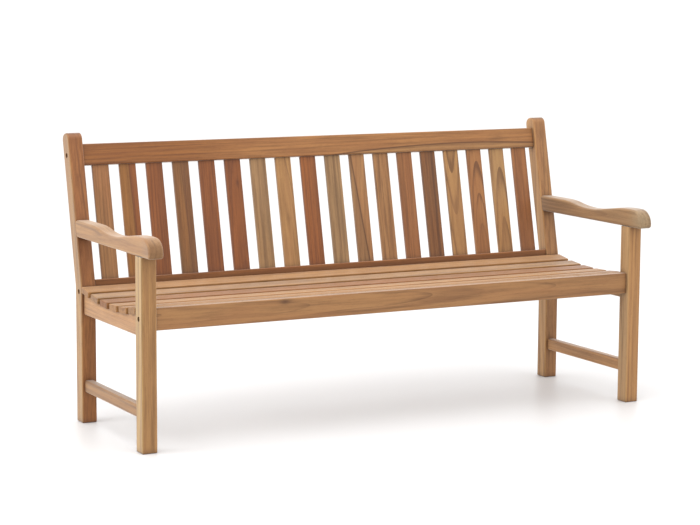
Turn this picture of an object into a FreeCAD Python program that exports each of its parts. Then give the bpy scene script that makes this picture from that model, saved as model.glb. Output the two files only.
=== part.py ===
import FreeCAD, Part
import math
import os
import Sketcher
from FreeCAD import Placement, Rotation, Vector

# Three-seat garden bench with a slatted back and armrests, in millimetres.
# +X runs along the bench, +Y towards its back, +Z up, and the origin is on the floor
# below the middle of the bench. Heights are above the floor. Names that end in "_back"
# are distances behind the front faces of the front legs.

DIMENSIONS = [
    ("bench_length", 1800, "over the outer faces of the legs"),
    ("legs_front_y", -295.98, "front faces of the front legs, in the bench's frame"),
    ("leg_width", 49, "along the bench"),
    ("leg_rounding", 4, "long edges and feet"),
    ("front_leg_depth", 50, "front to back"),
    ("front_leg_height", 595, "to the underside of the armrest"),
    ("rear_leg_back", 498, "front face of the rear leg at the floor"),
    ("rear_leg_depth", 51, "square to its length"),
    ("rake_angle", 12.6, "lean of the back from upright, degrees"),
    ("bend_height", 440, "where the middle of the rear leg starts to lean"),
    ("post_corner_height", 923.6, "sharp front corner of the rear leg's top"),
    ("post_top_rounding", 22, "front and back edges of the rear leg's top"),
    ("arm_overhang", 59, "nose ahead of the front leg"),
    ("arm_nose_radius", 48, "big front rounding"),
    ("arm_crest_back", 10, "highest point over the front leg"),
    ("arm_crest_height", 60.5, "above the armrest's underside"),
    ("arm_crest_radius", 600, "side view"),
    ("arm_dip_back", 252, "lowest point of the top"),
    ("arm_dip_height", 37.6, "above the armrest's underside"),
    ("arm_dip_radius", 520, "side view"),
    ("arm_shoulder_height", 52.5, "flat part next to the rear leg"),
    ("arm_shoulder_radius", 400, "side view"),
    ("arm_nose_foot_radius", 10, "bottom front edge"),
    ("arm_rounding", 8, "all long edges, round the nose as well"),
    ("arm_tenon_width", 24, "both of the armrest's joints, along the bench"),
    ("arm_tenon_height", 26, "joint into the rear leg"),
    ("arm_tenon_middle", 25.5, "middle of that joint above the underside"),
    ("arm_tenon_bury", 15, "into the rear leg at the tenon's middle"),
    ("arm_tenon_length", 45, "from its tip to inside the armrest"),
    ("leg_tenon_depth", 24, "joint up into the armrest, front to back"),
    ("leg_tenon_rise", 22, "joint up into the armrest"),
    ("side_board_thickness", 30, "side rails, stretchers and seat bearers"),
    ("side_rail_bottom", 350.5, "underside"),
    ("stretcher_bottom", 100.5, "underside"),
    ("stretcher_height", 38.5, "section"),
    ("bearer_bottom", 371, "underside"),
    ("bearer_spacing", 568, "middle to middle of the two seat bearers"),
    ("board_rounding", 3, "long edges of front and rear rails, lower edges of bearers"),
    ("side_board_rounding", 6, "long edges of stretchers, lower edges of side rails"),
    ("side_tenon_thickness", 10, "side rails, stretchers and bearers"),
    ("side_tenon_depth", 18, "into the legs"),
    ("side_rail_tenon_height", 44, "section"),
    ("side_rail_tenon_middle", 30, "above the rail's underside"),
    ("stretcher_tenon_height", 25, "section"),
    ("bearer_tenon_height", 18, "section"),
    ("bearer_tenon_middle", 31, "above the bearer's underside"),
    ("bearer_tenon_depth", 10, "into the front and rear rails"),
    ("dish_back", 265, "lowest line of the seat"),
    ("dish_height", 401, "top of the side rails at that line"),
    ("dish_front_radius", 1413, "top of the side rails ahead of it"),
    ("dish_rear_radius", 1282, "top of the side rails behind it"),
    ("seat_slat_length", 1802, "along the bench, just past the legs"),
    ("seat_slat_width", 58.5, "second to fifth"),
    ("front_seat_slat_width", 52, "first one, right behind the front legs"),
    ("rear_seat_slat_width", 60, "last one, right in front of the rear legs"),
    ("seat_slat_thickness", 20, "section"),
    ("seat_slat_pitch", 78.4, "middle to middle, second to fifth"),
    ("second_slat_back", 151.4, "middle of the second seat slat"),
    ("end_slat_clearance", 0.4, "between the first and last slats and the legs"),
    ("slat_rounding", 2.5, "edges of seat slats"),
    ("front_rail_back", 12, "front face"),
    ("long_rail_thickness", 26, "front and top rails"),
    ("front_rail_bottom", 370.5, "underside"),
    ("front_rail_height", 68.5, "section"),
    ("rear_rail_back", 504, "front face"),
    ("rear_rail_thickness", 32, "section"),
    ("rear_rail_bottom", 388, "underside"),
    ("rear_rail_height", 73.4, "front face; the top is planed square to the back slats"),
    ("top_rail_middle_height", 848.3, "above the floor"),
    ("top_rail_height", 68.5, "section, along the leaning back"),
    ("top_rail_rounding", 4, "long edges"),
    ("rail_end_rounding", 2, "end edges of the three long rails"),
    ("stub_tenon_length", 8, "ends of the three long rails, into the legs"),
    ("stub_tenon_thickness", 16, "section"),
    ("stub_tenon_margin", 7, "shoulder above and below"),
    ("back_slat_width", 56, "section"),
    ("back_slat_thickness", 12, "section"),
    ("back_slat_pitch", 93, "middle to middle"),
    ("back_slat_count", 18, "slats in the back"),
    ("back_slat_bury", 12, "into the top and rear rails"),
    ("back_slat_rounding", 2, "long edges"),
    ("bolt_radius", 4, "shank"),
    ("bolt_hole_radius", 4.5, "clearance hole in the wood"),
    ("bolt_length", 90, "below the head"),
    ("bolt_head_radius", 6.5, "socket head"),
    ("bolt_head_height", 8, "socket head"),
    ("bolt_socket_width", 6, "across flats"),
    ("bolt_socket_depth", 4, "in the head"),
    ("bolt_bevel", 1, "head rim and tip"),
    ("counterbore_radius", 8, "recess for head and washer"),
    ("counterbore_depth", 14, "from the leg's outer face"),
    ("washer_radius", 7.9, "outside"),
    ("washer_bore_radius", 4.2, "inside"),
    ("washer_thickness", 1.6, "under the bolt head"),
    ("front_bolt_height", 407.5, "above the floor"),
    ("rear_bolt_height", 423, "above the floor"),
    ("barrel_nut_inset", 40, "from the rail's shoulder to the nut's middle"),
    ("barrel_nut_radius", 6, "outside"),
    ("barrel_nut_length", 18, "across the rail"),
    ("barrel_nut_bore_radius", 4.05, "thread drawn as a plain hole"),
    ("barrel_nut_slot", 1.2, "width and depth of the screwdriver slot"),
    ("bolt_hole_overrun", 57, "depth of the bolt hole in a rail's end"),
    ("slat_screw_radius", 2.25, "shank"),
    ("slat_screw_length", 40, "below the head"),
    ("slat_screw_point", 5, "tapered tip"),
    ("slat_screw_head_radius", 4.5, "pan head"),
    ("slat_screw_crown_radius", 3.6, "flat of the pan head"),
    ("slat_screw_head_height", 3, "pan head"),
    ("slat_screw_grip", 26, "wood between the head and the slat"),
    ("slat_screw_hole_radius", 2.6, "clearance hole"),
    ("slat_screw_recess_radius", 5.5, "hole the head sits up in"),
    ("pilot_radius", 2.3, "hole in the slat"),
    ("pilot_depth", 15, "hole in the slat"),
    ("cutter_lead", 2, "how far a cutter starts outside the wood"),
    ("cutter_through", 150, "longer than any board that a cutter goes right through"),
]

ROUGH_SIZE = 10  # a sketch's size before its constraints pull it to the sheet's
EDGE_TOLERANCE = 1
DIRECTION_TOLERANCE = 1e-6
LEAST_CUT = 1  # cubic millimetres
HEXAGON = range(6)
SEAT_SLATS = range(1, 7)
SIDES = (("left", -1), ("right", 1))
BOLT_ROWS = ("front", "rear", "top")


def dish_surface(dims, back):
    """Height of the side rails' dished top at a distance behind the front legs' faces."""
    ahead = back < dims["dish_back"]
    radius = dims["dish_front_radius"] if ahead else dims["dish_rear_radius"]
    offset = back - dims["dish_back"]
    return dims["dish_height"] + radius - math.sqrt(radius ** 2 - offset ** 2)


def seat_slat_values(dims, number):
    """Middle, underside height and slope of one seat slat laid across the dished rails."""
    width = dims["seat_slat_width"]
    middle = dims["second_slat_back"] + (number - 2) * dims["seat_slat_pitch"]
    if number == SEAT_SLATS[0]:
        width = dims["front_seat_slat_width"]
        middle = dims["front_leg_depth"] + dims["end_slat_clearance"] + width / 2
    if number == SEAT_SLATS[-1]:
        width = dims["rear_seat_slat_width"]
        middle = dims["rear_leg_back"] - dims["end_slat_clearance"] - width / 2
    front = dish_surface(dims, middle - width / 2)
    back = dish_surface(dims, middle + width / 2)
    slope = math.degrees(math.asin((back - front) / width))
    seat = dish_surface(dims, middle) - dims["slat_screw_grip"]
    name = "seat_slat_%d_" % number
    return [
        (name + "width", width, "section"),
        (name + "back", middle, "middle of the underside"),
        (name + "underside", (front + back) / 2, "height of that line"),
        (name + "slope", abs(slope), "degrees, always positive"),
        (name + "screw_seat", seat, "height of the screw heads' bearing faces"),
    ]


def derived_dimensions(dims):
    """Sizes that follow from the driving ones."""
    rake = math.radians(dims["rake_angle"])
    depth = dims["rear_leg_depth"]
    bend_front = dims["bend_height"] + depth / 2 * math.tan(rake / 2)
    half_depth = depth / 2 / math.cos(rake)

    def post_front(height):
        return dims["rear_leg_back"] + (height - bend_front) * math.tan(rake)

    rail_top = dims["rear_rail_bottom"] + dims["rear_rail_height"]
    slat_to_rail = post_front(0) + half_depth - dims["rear_rail_back"]
    foot_height = (rail_top - slat_to_rail * math.tan(rake)) * math.cos(rake) ** 2
    top_middle = dims["top_rail_middle_height"]
    clear = (top_middle - foot_height) / math.cos(rake) - dims["top_rail_height"] / 2
    tenon_height = dims["front_leg_height"] + dims["arm_tenon_middle"]
    rails_length = dims["bench_length"] - 2 * dims["leg_width"]
    side_length = dims["rear_leg_back"] - dims["front_leg_depth"]
    bearer_start = dims["front_rail_back"] + dims["long_rail_thickness"]
    values = [
        ("bend_front_height", bend_front, "start of the lean on the front face"),
        ("rails_length", rails_length, "long rails between their shoulders"),
        ("side_length", side_length, "side rails and stretchers between their shoulders"),
        ("bearer_start", bearer_start, "front end of the seat bearers"),
        ("bearer_length", dims["rear_rail_back"] - bearer_start, "between shoulders"),
        ("side_rail_dish", dims["dish_height"] - dims["side_rail_bottom"], "least height"),
        ("bearer_dish", dims["dish_height"] - dims["bearer_bottom"], "least height"),
        ("arm_back", post_front(dims["front_leg_height"]), "armrest's rear lower edge"),
        ("arm_tenon_end_back", post_front(tenon_height) + dims["arm_tenon_bury"], "tip"),
        ("back_slat_foot_height", foot_height, "middle of the slats at the rear rail's top"),
        ("back_slat_foot_back", post_front(foot_height) + half_depth, "the same line"),
        ("back_slat_length", clear + 2 * dims["back_slat_bury"], "over both tenons"),
        ("top_rail_back", post_front(top_middle) + half_depth, "middle of the top rail"),
    ]
    for number in SEAT_SLATS:
        values.extend(seat_slat_values(dims, number))
    return values


def make_sheet(doc):
    """Spreadsheet of driving and derived dimensions; returns the values by name."""
    sheet = doc.addObject("Spreadsheet::Sheet", "Dims")
    dims = {name: value for name, value, _ in DIMENSIONS}
    rows = DIMENSIONS + derived_dimensions(dims)
    for row, (name, value, note) in enumerate(rows, start=1):
        sheet.set("A%d" % row, name)
        sheet.set("B%d" % row, repr(value))
        sheet.set("C%d" % row, note)
        sheet.setAlias("B%d" % row, name)
    doc.recompute()
    return {name: sheet.get(name) for name, _, _ in rows}


def bind(obj, path, expression):
    """Ties a property to the sheet; a word with spaces around it names a cell."""
    words = [("Dims." + word if word.isidentifier() else word) for word in expression.split()]
    obj.setExpression(path, " ".join(words))


def place(obj, x="0", y="0", z="0"):
    """Placement from expressions, with y counted back from the front legs' faces."""
    bind(obj, "Placement.Base.x", x)
    bind(obj, "Placement.Base.y", "legs_front_y + " + y)
    bind(obj, "Placement.Base.z", z)


def turn(obj, axis, angle):
    """Turns an object about its own origin."""
    obj.Placement = Placement(obj.Placement.Base, Rotation(Vector(*axis), 1))
    bind(obj, "Placement.Rotation.Angle", angle)


def new_body(doc, label):
    body = doc.addObject("PartDesign::Body", label)
    body.Label = label
    return body


def new_sketch(body, name, plane, x="0", y="0", lift="0"):
    """Sketch on one of the body's origin planes, moved in the plane and lifted off it."""
    sketch = body.newObject("Sketcher::SketchObject", name)
    support = next(f for f in body.Origin.OriginFeatures if f.Role == plane)
    sketch.AttachmentSupport = [(support, "")]
    sketch.MapMode = "FlatFace"
    bind(sketch, "AttachmentOffset.Base.x", x)
    bind(sketch, "AttachmentOffset.Base.y", y)
    bind(sketch, "AttachmentOffset.Base.z", lift)
    return sketch


def tilt_sketch(sketch, axis, angle):
    """Turns a sketch in its attachment about an axis of its own."""
    base = sketch.AttachmentOffset.Base
    sketch.AttachmentOffset = Placement(base, Rotation(Vector(*axis), 1))
    bind(sketch, "AttachmentOffset.Rotation.Angle", angle)


def dimension(sketch, kind, where, value, name, expression):
    """Named constraint whose value comes from the sheet."""
    index = sketch.addConstraint(Sketcher.Constraint(kind, *where, value))
    sketch.renameConstraint(index, name)
    bind(sketch, "Constraints." + name, expression)


def rectangle(sketch, width, height):
    """Rectangle centred on the sketch's origin."""
    turns = ((-1, -1), (1, -1), (1, 1), (-1, 1))
    corners = [Vector(x, y, 0) * (ROUGH_SIZE / 2) for x, y in turns]
    sides = range(4)
    for side in sides:
        sketch.addGeometry(Part.LineSegment(corners[side], corners[(side + 1) % 4]), False)
    for side in sides:
        nextside = (side + 1) % 4
        sketch.addConstraint(Sketcher.Constraint("Coincident", side, 2, nextside, 1))
        level = "Horizontal" if side % 2 == 0 else "Vertical"
        sketch.addConstraint(Sketcher.Constraint(level, side))
    sketch.addConstraint(Sketcher.Constraint("Symmetric", 0, 1, 2, 1, -1, 1))
    dimension(sketch, "DistanceX", (0, 1, 0, 2), ROUGH_SIZE, "width", width)
    dimension(sketch, "DistanceY", (1, 1, 1, 2), ROUGH_SIZE, "height", height)


def bevelled_rectangle(sketch, width, height):
    """Rectangle centred on the origin, its top sloping down to the right by the rake."""
    half = ROUGH_SIZE / 2
    closed_lines(sketch, [Vector(-half, -half, 0), Vector(half, -half, 0),
                          Vector(half, half - 1, 0), Vector(-half, half, 0)])
    sketch.addConstraint(Sketcher.Constraint("Vertical", 1))
    sketch.addConstraint(Sketcher.Constraint("Vertical", 3))
    sketch.addConstraint(Sketcher.Constraint("Symmetric", 0, 1, 0, 2, -2))
    dimension(sketch, "DistanceX", (0, 1, 0, 2), ROUGH_SIZE, "width", width)
    dimension(sketch, "DistanceY", (0, 1, -1, 1), half, "below", height + " / 2")
    dimension(sketch, "DistanceY", (0, 1, 3, 1), ROUGH_SIZE, "height", height)
    dimension(sketch, "DistanceY", (1, 1, 1, 2), ROUGH_SIZE - 1, "low_side",
              "%s - %s * tan( rake_angle * 1deg )" % (height, width))


def circle(sketch, radius):
    """Circle centred on the sketch's origin."""
    sketch.addGeometry(Part.Circle(Vector(0, 0, 0), Vector(0, 0, 1), ROUGH_SIZE), False)
    sketch.addConstraint(Sketcher.Constraint("Coincident", 0, 3, -1, 1))
    dimension(sketch, "Radius", (0,), ROUGH_SIZE, "radius", radius)


def hexagon(sketch, across_flats):
    """Regular hexagon round the sketch's origin."""
    closed_lines(sketch, ring_points(len(HEXAGON)))
    ring = len(HEXAGON)
    sketch.addGeometry(Part.Circle(Vector(0, 0, 0), Vector(0, 0, 1), 1), True)
    sketch.addConstraint(Sketcher.Constraint("Coincident", ring, 3, -1, 1))
    for i in HEXAGON:
        sketch.addConstraint(Sketcher.Constraint("PointOnObject", i, 1, ring))
    for i in HEXAGON[1:]:
        sketch.addConstraint(Sketcher.Constraint("Equal", i - 1, i))
    sketch.addConstraint(Sketcher.Constraint("PointOnObject", 0, 1, -1))
    dimension(sketch, "Radius", (ring,), 1, "corner", across_flats + " / sqrt( 3 )")


def pin_point(sketch, geometry, end, x, y, tag):
    """Holds a point at sheet distances right of and above the origin, or on an axis."""
    point = (-1, 1, geometry, end)
    if x is None:
        sketch.addConstraint(Sketcher.Constraint("PointOnObject", geometry, end, -2))
    else:
        dimension(sketch, "DistanceX", point, 1, tag + "_across", x)
    if y is None:
        sketch.addConstraint(Sketcher.Constraint("PointOnObject", geometry, end, -1))
    else:
        dimension(sketch, "DistanceY", point, 1, tag + "_up", y)


def closed_lines(sketch, points):
    """Straight lines from point to point and back to the first, joined at their ends."""
    count = len(points)
    for i in range(count):
        sketch.addGeometry(Part.LineSegment(points[i], points[(i + 1) % count]), False)
    for i in range(count):
        sketch.addConstraint(Sketcher.Constraint("Coincident", i, 2, (i + 1) % count, 1))


def ring_points(count):
    """Points spread evenly round the sketch's origin, the first on its X axis."""
    steps = [2 * math.pi * i / count for i in range(count)]
    return [Vector(math.cos(step), math.sin(step), 0) for step in steps]


def polygon(sketch, points):
    """Closed outline through corners given as pairs of expressions; None is an axis."""
    closed_lines(sketch, ring_points(len(points)))
    for i, (x, y) in enumerate(points):
        pin_point(sketch, i, 1, x, y, "corner_%d" % i)


def add_pad(body, name, sketch, length, symmetric=False, backwards=False):
    """Pad along the sketch's normal, both ways from it, or against it."""
    feature = body.newObject("PartDesign::Pad", name)
    feature.Profile = sketch
    feature.SideType = "Symmetric" if symmetric else "One side"
    feature.Reversed = backwards
    bind(feature, "Length", length)
    return feature


def add_pocket(body, name, sketch, depth, forwards=False):
    """Pocket against the sketch's normal, or along it."""
    feature = body.newObject("PartDesign::Pocket", name)
    feature.Profile = sketch
    feature.Reversed = forwards
    bind(feature, "Length", depth)
    return feature


def box_joint(body, name, plane, size, at, lift, length, tenon, along_normal):
    """Rectangular tenon or mortise on a plane of the body."""
    sketch = new_sketch(body, name + "_outline", plane, at[0], at[1], lift)
    rectangle(sketch, size[0], size[1])
    if tenon:
        return add_pad(body, name, sketch, length, backwards=not along_normal)
    return add_pocket(body, name, sketch, length, forwards=along_normal)


def round_hole(body, name, plane, radius, at, lift, depth, along_normal):
    """Round hole drilled from a plane of the body."""
    sketch = new_sketch(body, name + "_outline", plane, at[0], at[1], lift)
    circle(sketch, radius)
    return add_pocket(body, name, sketch, depth, forwards=along_normal)


def round_edges(body, name, radius, chosen):
    """Rounds the edges of the finished part so far that a test picks out."""
    body.Document.recompute()
    base = body.Tip
    names = ["Edge%d" % i for i, e in enumerate(base.Shape.Edges, start=1) if chosen(e)]
    feature = body.newObject("PartDesign::Fillet", name)
    feature.Base = (base, names)
    bind(feature, "Radius", radius)
    return feature


def runs_along(edge, axis):
    """True for a straight edge parallel to a unit axis."""
    if edge.Degenerated or edge.Curve.TypeId != "Part::GeomLine":
        return False
    return abs(abs(edge.Curve.Direction.dot(Vector(*axis))) - 1) < DIRECTION_TOLERANCE


def lies_low(edge):
    """True for an edge in the body's base plane."""
    return edge.BoundBox.ZMax < EDGE_TOLERANCE


def drill(body, name, radius, height, at, axis=None, angle=None):
    """Cylinder cut from the body, standing on a point and optionally leaned over."""
    cutter = body.newObject("PartDesign::SubtractiveCylinder", name)
    if axis is not None:
        cutter.Placement = Placement(Vector(), Rotation(Vector(*axis), 1))
        bind(cutter, "Placement.Rotation.Angle", angle)
    bind(cutter, "Radius", radius)
    bind(cutter, "Height", height)
    for path, expression in zip("xyz", at):
        bind(cutter, "Placement.Base." + path, expression)
    return cutter


def leg_x(side):
    """Expression for the middle of a leg on one side."""
    return "( bench_length - leg_width ) / %d" % (2 * side)


def face_lift(sign):
    """Expression for the plane of a leg's face across the bench."""
    return "leg_width / %d" % (2 * sign)


def bolt_hole(body, side, name, at):
    """Through hole for a frame bolt with a counterbore in the leg's outer face."""
    into_outer = side < 0
    round_hole(body, name + "_hole", "YZ_Plane", "bolt_hole_radius", at,
               face_lift(side), "leg_width", into_outer)
    round_hole(body, name + "_counterbore", "YZ_Plane", "counterbore_radius", at,
               face_lift(side), "counterbore_depth", into_outer)


def stub_mortise(body, side, name, height, at):
    """Shallow mortise in the leg's inner face for the end of a long rail."""
    size = ("stub_tenon_thickness", height + " - 2 * stub_tenon_margin")
    return box_joint(body, name, "YZ_Plane", size, at, face_lift(-side),
                     "stub_tenon_length", False, side > 0)


def side_mortises(body, face, into_front_face):
    """Mortises for side rail and stretcher in a leg's front or back face."""
    joints = [
        ("side_rail_mortise", "side_rail_tenon_height", "side_rail_bottom + side_rail_tenon_middle"),
        ("stretcher_mortise", "stretcher_tenon_height", "stretcher_bottom + stretcher_height / 2"),
    ]
    for name, height, middle in joints:
        box_joint(body, name, "XZ_Plane", ("side_tenon_thickness", height), ("0", middle),
                  "-1 * " + face, "side_tenon_depth", False, not into_front_face)


def front_leg(doc, name, side):
    """Upright post, stub of a tenon on top for the armrest."""
    body = new_body(doc, "front_leg_" + name)
    section = new_sketch(body, "section", "XY_Plane", "0", "front_leg_depth / 2")
    rectangle(section, "leg_width", "front_leg_depth")
    add_pad(body, "post", section, "front_leg_height")
    round_edges(body, "soft_edges", "leg_rounding",
                lambda e: runs_along(e, (0, 0, 1)) or lies_low(e))
    box_joint(body, "arm_tenon", "XY_Plane", ("arm_tenon_width", "leg_tenon_depth"),
              ("0", "front_leg_depth / 2"), "front_leg_height", "leg_tenon_rise", True, True)
    side_mortises(body, "front_leg_depth", False)
    bolt_at = ("front_rail_back + long_rail_thickness / 2", "front_bolt_height")
    rail_middle = (bolt_at[0], "front_rail_bottom + front_rail_height / 2")
    stub_mortise(body, side, "front_rail_mortise", "front_rail_height", rail_middle)
    bolt_hole(body, side, "front_bolt", bolt_at)
    place(body, leg_x(side))
    return body


def rear_leg_outline(sketch, dims):
    """Side view of the rear leg: upright foot and leaning post of one thickness."""
    rake = math.radians(dims["rake_angle"])
    depth = dims["rear_leg_depth"]
    bend_front = dims["bend_front_height"]
    bend_back = bend_front - depth * math.tan(rake / 2)
    rise = dims["post_corner_height"] - bend_front
    along = Vector(math.sin(rake), math.cos(rake), 0)
    across = Vector(math.cos(rake), -math.sin(rake), 0)
    front_bend = Vector(0, bend_front, 0)
    front_top = front_bend + along * (rise / math.cos(rake))
    points = [Vector(0, 0, 0), front_bend, front_top, front_top + across * depth,
              Vector(depth, bend_back, 0), Vector(depth, 0, 0)]
    closed_lines(sketch, points)
    sketch.addConstraint(Sketcher.Constraint("Coincident", 0, 1, -1, 1))
    sketch.addConstraint(Sketcher.Constraint("Vertical", 0))
    sketch.addConstraint(Sketcher.Constraint("Vertical", 4))
    sketch.addConstraint(Sketcher.Constraint("Horizontal", 5))
    sketch.addConstraint(Sketcher.Constraint("Perpendicular", 1, 2))
    sketch.addConstraint(Sketcher.Constraint("Parallel", 1, 3))
    dimension(sketch, "DistanceX", (-1, 1, 4, 2), depth, "foot_depth", "rear_leg_depth")
    dimension(sketch, "DistanceY", (-1, 1, 0, 2), bend_front, "bend", "bend_front_height")
    dimension(sketch, "Angle", (1,), math.pi / 2 - rake, "lean", "90 - rake_angle")
    dimension(sketch, "DistanceY", (-1, 1, 1, 2), dims["post_corner_height"],
              "top", "post_corner_height")
    dimension(sketch, "Distance", (2,), depth, "post_depth", "rear_leg_depth")


def rear_leg(doc, name, side, dims):
    """One-piece rear leg and back post."""
    body = new_body(doc, "rear_leg_" + name)
    outline = new_sketch(body, "outline", "YZ_Plane")
    rear_leg_outline(outline, dims)
    add_pad(body, "post", outline, "leg_width", symmetric=True)
    top = dims["post_corner_height"] - dims["leg_width"]
    round_edges(body, "rounded_top", "post_top_rounding",
                lambda e: runs_along(e, (1, 0, 0)) and e.BoundBox.ZMin > top)
    round_edges(body, "soft_edges", "leg_rounding",
                lambda e: not runs_along(e, (1, 0, 0)) or lies_low(e))
    side_mortises(body, "0", True)
    rear_at = ("rear_rail_back - rear_leg_back + rear_rail_thickness / 2",
               "rear_rail_bottom + rear_rail_height / 2")
    stub_mortise(body, side, "rear_rail_mortise", "rear_rail_height", rear_at)
    top_at = ("top_rail_back - rear_leg_back", "top_rail_middle_height")
    joint = stub_mortise(body, side, "top_rail_mortise", "top_rail_height", top_at)
    tilt_sketch(joint.Profile[0], (0, 0, -1), "rake_angle")
    arm_at = ("0", "front_leg_height + arm_tenon_middle")
    box_joint(body, "arm_mortise", "XZ_Plane", ("arm_tenon_width", "arm_tenon_height"), arm_at,
              "0", "arm_tenon_end_back - rear_leg_back", False, False)
    bolt_hole(body, side, "rear_bolt", (rear_at[0], "rear_bolt_height"))
    bolt_hole(body, side, "top_bolt", top_at)
    place(body, leg_x(side), "rear_leg_back")
    return body


def arm_outline(sketch, dims):
    """Side view of the armrest; the origin lies below its foremost line."""
    rake = math.radians(dims["rake_angle"])
    nose_radius = dims["arm_nose_radius"]
    crest_radius = dims["arm_crest_radius"]
    dip_radius = dims["arm_dip_radius"]
    shoulder_radius = dims["arm_shoulder_radius"]
    foot_radius = dims["arm_nose_foot_radius"]
    overhang = dims["arm_overhang"]
    shoulder_height = dims["arm_shoulder_height"]
    crest = Vector(overhang + dims["arm_crest_back"], dims["arm_crest_height"] - crest_radius, 0)
    dip = Vector(overhang + dims["arm_dip_back"], dims["arm_dip_height"] + dip_radius, 0)
    reach = math.sqrt((crest_radius - nose_radius) ** 2 - (crest.x - nose_radius) ** 2)
    nose = Vector(nose_radius, crest.y + reach, 0)
    drop = dip.y - (shoulder_height - shoulder_radius)
    spread = math.sqrt((dip_radius + shoulder_radius) ** 2 - drop ** 2)
    shoulder = Vector(dip.x + spread, shoulder_height - shoulder_radius, 0)
    between = dip - crest
    swing = math.acos((crest_radius + dip_radius) / between.Length)
    heading = math.atan2(between.y, between.x) + swing
    normal = Vector(math.cos(heading), math.sin(heading), 0)
    nose_top = crest + (nose - crest).normalize() * crest_radius
    crest_end = crest + normal * crest_radius
    dip_start = dip - normal * dip_radius
    dip_end = dip + (shoulder - dip).normalize() * dip_radius
    back_low = Vector(overhang + dims["arm_back"], 0, 0)
    back_high = back_low + Vector(math.tan(rake), 1, 0) * shoulder_height
    flat_start = Vector(shoulder.x, shoulder_height, 0)
    foot = Vector(foot_radius, foot_radius, 0)
    foot_front = Vector(0, foot_radius, 0)
    foot_low = Vector(foot_radius, 0, 0)

    def arc(centre, radius, first, last):
        ends = [math.atan2(p.y - centre.y, p.x - centre.x) for p in (first, last)]
        return Part.ArcOfCircle(Part.Circle(centre, Vector(0, 0, 1), radius), *ends)

    sketch.addGeometry(Part.LineSegment(back_low, foot_low), False)
    sketch.addGeometry(Part.LineSegment(foot_front, Vector(0, nose.y, 0)), False)
    sketch.addGeometry(arc(nose, nose_radius, nose_top, Vector(0, nose.y, 0)), False)
    sketch.addGeometry(arc(crest, crest_radius, crest_end, nose_top), False)
    sketch.addGeometry(Part.LineSegment(crest_end, dip_start), False)
    sketch.addGeometry(arc(dip, dip_radius, dip_start, dip_end), False)
    sketch.addGeometry(arc(shoulder, shoulder_radius, flat_start, dip_end), False)
    sketch.addGeometry(Part.LineSegment(flat_start, back_high), False)
    sketch.addGeometry(Part.LineSegment(back_high, back_low), False)
    sketch.addGeometry(arc(foot, foot_radius, foot_front, foot_low), False)
    for first, first_end, second, second_end in ((7, 2, 8, 1), (8, 2, 0, 1)):
        sketch.addConstraint(
            Sketcher.Constraint("Coincident", first, first_end, second, second_end))
    for first, first_end, second, second_end in (
            (1, 2, 2, 2), (2, 1, 3, 2), (3, 1, 4, 1), (4, 2, 5, 1), (5, 2, 6, 2), (6, 1, 7, 1),
            (0, 2, 9, 2), (1, 1, 9, 1)):
        sketch.addConstraint(
            Sketcher.Constraint("Tangent", first, first_end, second, second_end))
    sketch.addConstraint(Sketcher.Constraint("PointOnObject", 0, 2, -1))
    sketch.addConstraint(Sketcher.Constraint("PointOnObject", 1, 1, -2))
    sketch.addConstraint(Sketcher.Constraint("Horizontal", 0))
    sketch.addConstraint(Sketcher.Constraint("Vertical", 1))
    sketch.addConstraint(Sketcher.Constraint("Horizontal", 7))
    dimension(sketch, "Radius", (2,), nose_radius, "nose", "arm_nose_radius")
    dimension(sketch, "Radius", (9,), foot_radius, "nose_foot", "arm_nose_foot_radius")
    dimension(sketch, "Radius", (3,), crest_radius, "crest", "arm_crest_radius")
    dimension(sketch, "Radius", (5,), dip_radius, "dip", "arm_dip_radius")
    dimension(sketch, "Radius", (6,), shoulder_radius, "shoulder", "arm_shoulder_radius")
    dimension(sketch, "DistanceX", (-1, 1, 3, 3), crest.x, "crest_across",
              "arm_overhang + arm_crest_back")
    dimension(sketch, "DistanceY", (3, 3, -1, 1), -crest.y, "crest_down",
              "arm_crest_radius - arm_crest_height")
    dimension(sketch, "DistanceX", (-1, 1, 5, 3), dip.x, "dip_across",
              "arm_overhang + arm_dip_back")
    dimension(sketch, "DistanceY", (-1, 1, 5, 3), dip.y, "dip_up",
              "arm_dip_radius + arm_dip_height")
    dimension(sketch, "DistanceY", (-1, 1, 7, 2), shoulder_height, "flat_up",
              "arm_shoulder_height")
    dimension(sketch, "DistanceX", (-1, 1, 0, 1), back_low.x, "length",
              "arm_overhang + arm_back")
    dimension(sketch, "Angle", (8, 2, 0, 1), math.pi / 2 + rake, "lean", "90 + rake_angle")


def armrest(doc, name, side, dims):
    """Shaped armrest: flat below, dipped above, rounded nose, tenon into the rear leg."""
    body = new_body(doc, "armrest_" + name)
    outline = new_sketch(body, "outline", "YZ_Plane")
    arm_outline(outline, dims)
    add_pad(body, "arm", outline, "leg_width", symmetric=True)
    rear_end = dims["arm_overhang"] + dims["arm_back"] - dims["arm_rounding"]
    round_edges(body, "soft_edges", "arm_rounding",
                lambda e: not runs_along(e, (1, 0, 0)) and e.BoundBox.YMin < rear_end)
    box_joint(body, "rear_tenon", "XZ_Plane", ("arm_tenon_width", "arm_tenon_height"),
              ("0", "arm_tenon_middle"), "-1 * arm_overhang - arm_tenon_end_back",
              "arm_tenon_length", True, True)
    box_joint(body, "leg_mortise", "XY_Plane", ("arm_tenon_width", "leg_tenon_depth"),
              ("0", "arm_overhang + front_leg_depth / 2"), "0", "leg_tenon_rise", False, True)
    place(body, leg_x(side), "-1 * arm_overhang", "front_leg_height")
    return body


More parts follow.
